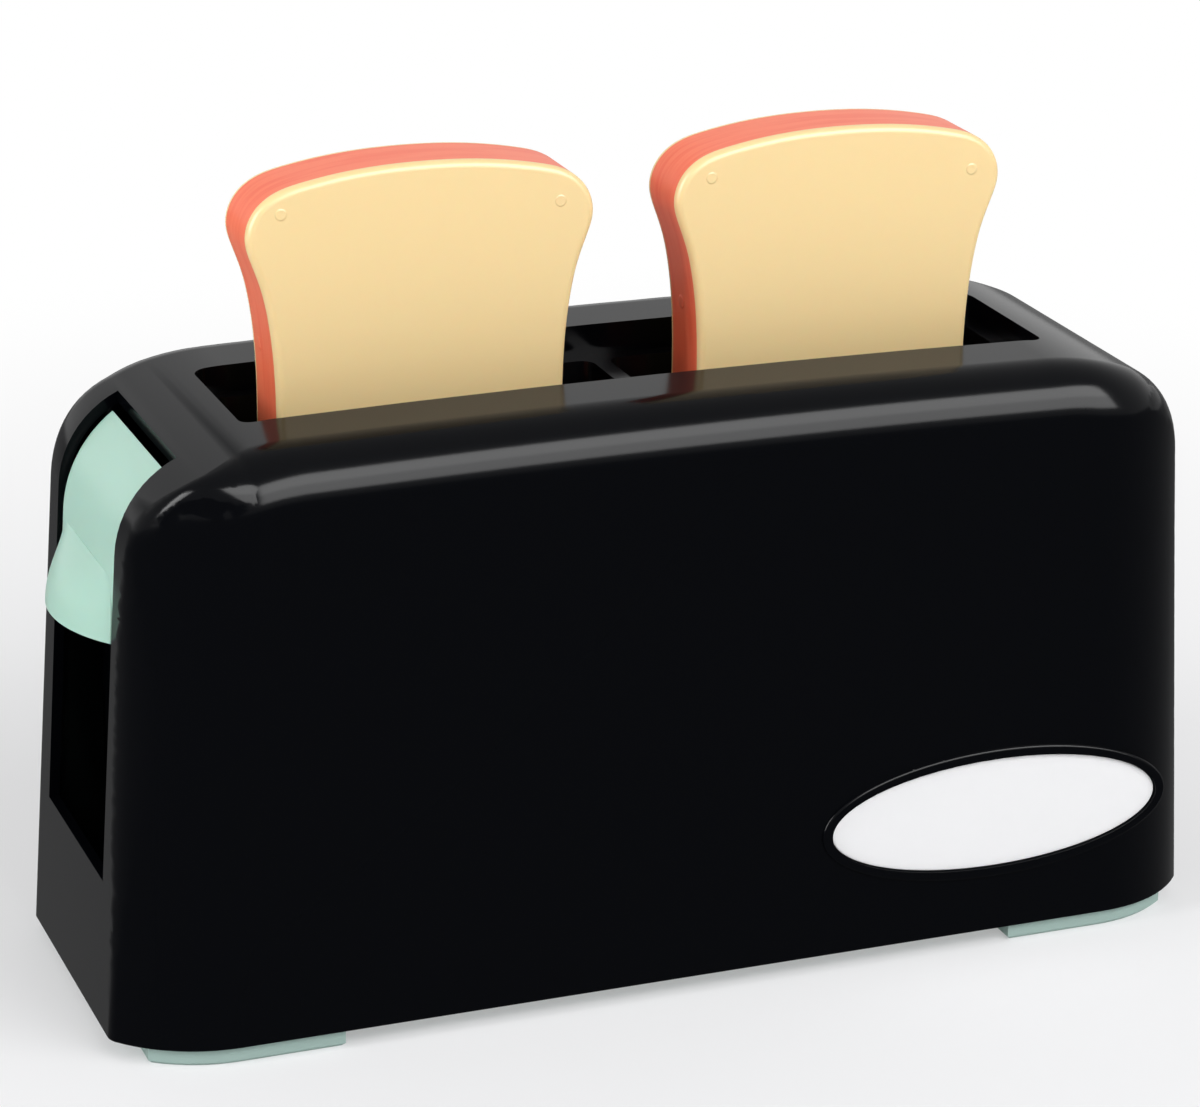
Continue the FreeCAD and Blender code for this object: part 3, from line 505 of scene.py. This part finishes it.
@dataclass
class Studio:
    """Pale floor, pale surroundings and soft lamps.

    Attributes:
        floor_half: Half the floor's side, in metres.
        floor_color: sRGB hex code of the floor.
        world_strength: Strength of the surroundings as light.
        near: Distance from the middle at which the floor starts to turn white, in metres.
        far: Distance at which it is plain white, in metres.
        near_white: Share of plain white close to the object.
        mirrored_floor: Brightness of the floor where a glossy surface mirrors it.
        lamps: The studio lamps.
    """

    floor_half: float = 3.0
    floor_color: str = "f4f4f6"
    world_strength: float = 0.43
    near: float = 0.10
    far: float = 0.42
    near_white: float = 0.35
    mirrored_floor: float = 0.25
    lamps: list[SoftBox] = field(default_factory=lambda: [
        SoftBox("front_box", (0.42, -0.80, 0.85), (0.0, 0.0, 0.08), (1.2, 0.42), 8.6),
        SoftBox("front_glow", (0.46, -0.88, 0.66), (0.0, 0.0, 0.08), (1.1, 0.80), 45.0, True),
        SoftBox("left_box", (-0.95, -0.14, 0.50), (-0.1, 0.0, 0.08), (0.26, 0.70), 4.4),
        SoftBox("left_glow", (-0.90, -0.24, 0.42), (-0.1, 0.0, 0.08), (0.34, 0.62), 16.0, True),
    ])

    def build(self) -> None:
        """Add floor, world and lamps."""
        half = self.floor_half
        mesh = bpy.data.meshes.new("studio_floor")
        corners = [(-half, -half, 0), (half, -half, 0), (half, half, 0), (-half, half, 0)]
        mesh.from_pydata(corners, [], [(0, 1, 2, 3)])
        floor = bpy.data.objects.new("studio_floor", mesh)
        bpy.context.scene.collection.objects.link(floor)
        mesh.materials.append(self.floor_material())
        self.world()
        for lamp in self.lamps:
            lamp.build()

    def shown_rays(self, tree: bpy.types.NodeTree) -> bpy.types.NodeSocket:
        """Return a socket that is one for camera, glossy and transmission rays.

        Args:
            tree: Node tree that takes the nodes.

        Returns:
            The socket with the sum, capped at one.
        """
        rays = add_node(tree, "ShaderNodeLightPath")
        seen = add_node(
            tree, "ShaderNodeMath", operation="ADD", use_clamp=True,
            i0=rays.outputs["Is Camera Ray"], i1=rays.outputs["Is Glossy Ray"])
        both = add_node(
            tree, "ShaderNodeMath", operation="ADD", use_clamp=True,
            i0=seen.outputs[0], i1=rays.outputs["Is Transmission Ray"])
        return both.outputs[0]

    def floor_material(self) -> bpy.types.Material:
        """Return the floor's pale matte paper, which turns to plain white away from the object."""
        material = bpy.data.materials.new("studio paper")
        material.use_nodes = True
        tree = material.node_tree
        tree.nodes.clear()
        paper = add_node(
            tree, "ShaderNodeBsdfPrincipled", Base_Color=linear(self.floor_color), Roughness=0.9,
            Specular_IOR_Level=0.1)
        shown = add_node(tree, "ShaderNodeEmission", Color=(1, 1, 1, 1), Strength=1.0)
        coords = add_node(tree, "ShaderNodeTexCoord")
        away = add_node(tree, "ShaderNodeVectorMath", operation="LENGTH", i0=coords.outputs["Object"])
        share = add_node(
            tree, "ShaderNodeMapRange", interpolation_type="SMOOTHSTEP", Value=away.outputs["Value"],
            From_Min=self.near, From_Max=self.far, To_Min=self.near_white, To_Max=1.0)
        weight = add_node(
            tree, "ShaderNodeMath", operation="MULTIPLY", i0=share.outputs["Result"],
            i1=self.shown_rays(tree))
        mix = add_node(tree, "ShaderNodeMixShader", Fac=weight.outputs[0])
        tree.links.new(paper.outputs["BSDF"], mix.inputs[1])
        tree.links.new(shown.outputs[0], mix.inputs[2])
        rays = add_node(tree, "ShaderNodeLightPath")
        dim = add_node(tree, "ShaderNodeEmission", Color=(1, 1, 1, 1), Strength=self.mirrored_floor)
        choice = add_node(tree, "ShaderNodeMixShader", Fac=rays.outputs["Is Glossy Ray"])
        tree.links.new(mix.outputs[0], choice.inputs[1])
        tree.links.new(dim.outputs[0], choice.inputs[2])
        output = add_node(tree, "ShaderNodeOutputMaterial")
        tree.links.new(choice.outputs[0], output.inputs["Surface"])
        return material

    def world(self) -> None:
        """Give the world a plain light that shows as white in the background."""
        world = bpy.data.worlds.new("studio_world")
        world.use_nodes = True
        tree = world.node_tree
        tree.nodes.clear()
        light = add_node(tree, "ShaderNodeBackground", Color=(1, 1, 1, 1), Strength=self.world_strength)
        shown = add_node(tree, "ShaderNodeBackground", Color=(1, 1, 1, 1), Strength=1.0)
        mix = add_node(tree, "ShaderNodeMixShader", Fac=self.shown_rays(tree))
        tree.links.new(light.outputs[0], mix.inputs[1])
        tree.links.new(shown.outputs[0], mix.inputs[2])
        output = add_node(tree, "ShaderNodeOutputWorld")
        tree.links.new(mix.outputs[0], output.inputs["Surface"])
        bpy.context.scene.world = world


@dataclass
class Cover:
    """Black cover with its bare badge plate.

    Attributes:
        shape: Designed surface of the cover.
        limit_mm: How far a corner of the mesh may be from that surface to take its normal.
    """

    shape: CoverShape = field(default_factory=CoverShape)
    limit_mm: float = 0.25

    def build(self, cache: dict[str, bpy.types.Material]) -> None:
        """Dress cover and badge, and stand a polished skin in for the cover.

        Args:
            cache: Materials made so far, by name.
        """
        dress("cover", BLACK_GLOSS, cache)
        dress("badge_plate", BADGE_WHITE, cache)
        skin = polished_copy("cover", self.shape, self.limit_mm)
        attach(skin, "shell")
        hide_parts("cover")


@dataclass
class Base:
    """Mint base plate with feet, and the screws below it.

    Attributes:
        screws: Nodes with screws that show from below.
    """

    screws: tuple[str, ...] = ("base_screws", "post_screws")

    def build(self, cache: dict[str, bpy.types.Material]) -> None:
        """Dress plate and screws.

        Args:
            cache: Materials made so far, by name.
        """
        # The plate's mint carries painted shade: it is darkened for the shadow that falls on the feet.
        dress("base_plate", MINT_BASE_WITH_PAINTED_SHADE, cache)
        for node in self.screws:
            dress(node, SCREW_STEEL, cache)


@dataclass
class Mechanism:
    """Liner, posts, springs and the carriage with its lever.

    Attributes:
        black: Black moulded nodes.
        screws: Nodes with screws that hold liner and lever.
    """

    black: tuple[str, ...] = ("slot_liner", "carriage")
    screws: tuple[str, ...] = ("liner_screws", "lever_screws")

    def build(self, cache: dict[str, bpy.types.Material]) -> None:
        """Dress every piece that guides or carries the toasts.

        Args:
            cache: Materials made so far, by name.
        """
        for node in self.black:
            dress(node, BLACK_SATIN, cache)
        for node in self.screws:
            dress(node, SCREW_STEEL, cache)
        dress("lever", MINT_LEVER, cache)
        for side in Side:
            dress("guide_post_" + side.value, POST_STEEL, cache)
            dress("return_spring_" + side.value, SPRING_STEEL, cache)


@dataclass
class Toast:
    """One loose slice: a crust ring closed by two faces.

    Attributes:
        side: Side of the slot that it stands in.
    """

    side: Side

    def build(self, cache: dict[str, bpy.types.Material]) -> None:
        """Dress the slice.

        Args:
            cache: Materials made so far, by name.
        """
        name = "toast_" + self.side.value
        dress(name + "_crust", CRUST_ORANGE, cache)
        dress(name + "_front_slice", SLICE_CREAM, cache)
        dress(name + "_back_slice", SLICE_CREAM, cache)


def main() -> None:
    """Build the studio and the dressed toaster."""
    logging.basicConfig(level=logging.INFO, format="%(message)s")
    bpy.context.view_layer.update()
    PhotoCamera().build()
    Studio().build()
    cache: dict[str, bpy.types.Material] = {}
    for part in (Cover(), Base(), Mechanism(), Toast(Side.LEFT), Toast(Side.RIGHT)):
        part.build(cache)
    bpy.context.scene.view_settings.view_transform = "Standard"


if __name__ == "__main__":
    main()
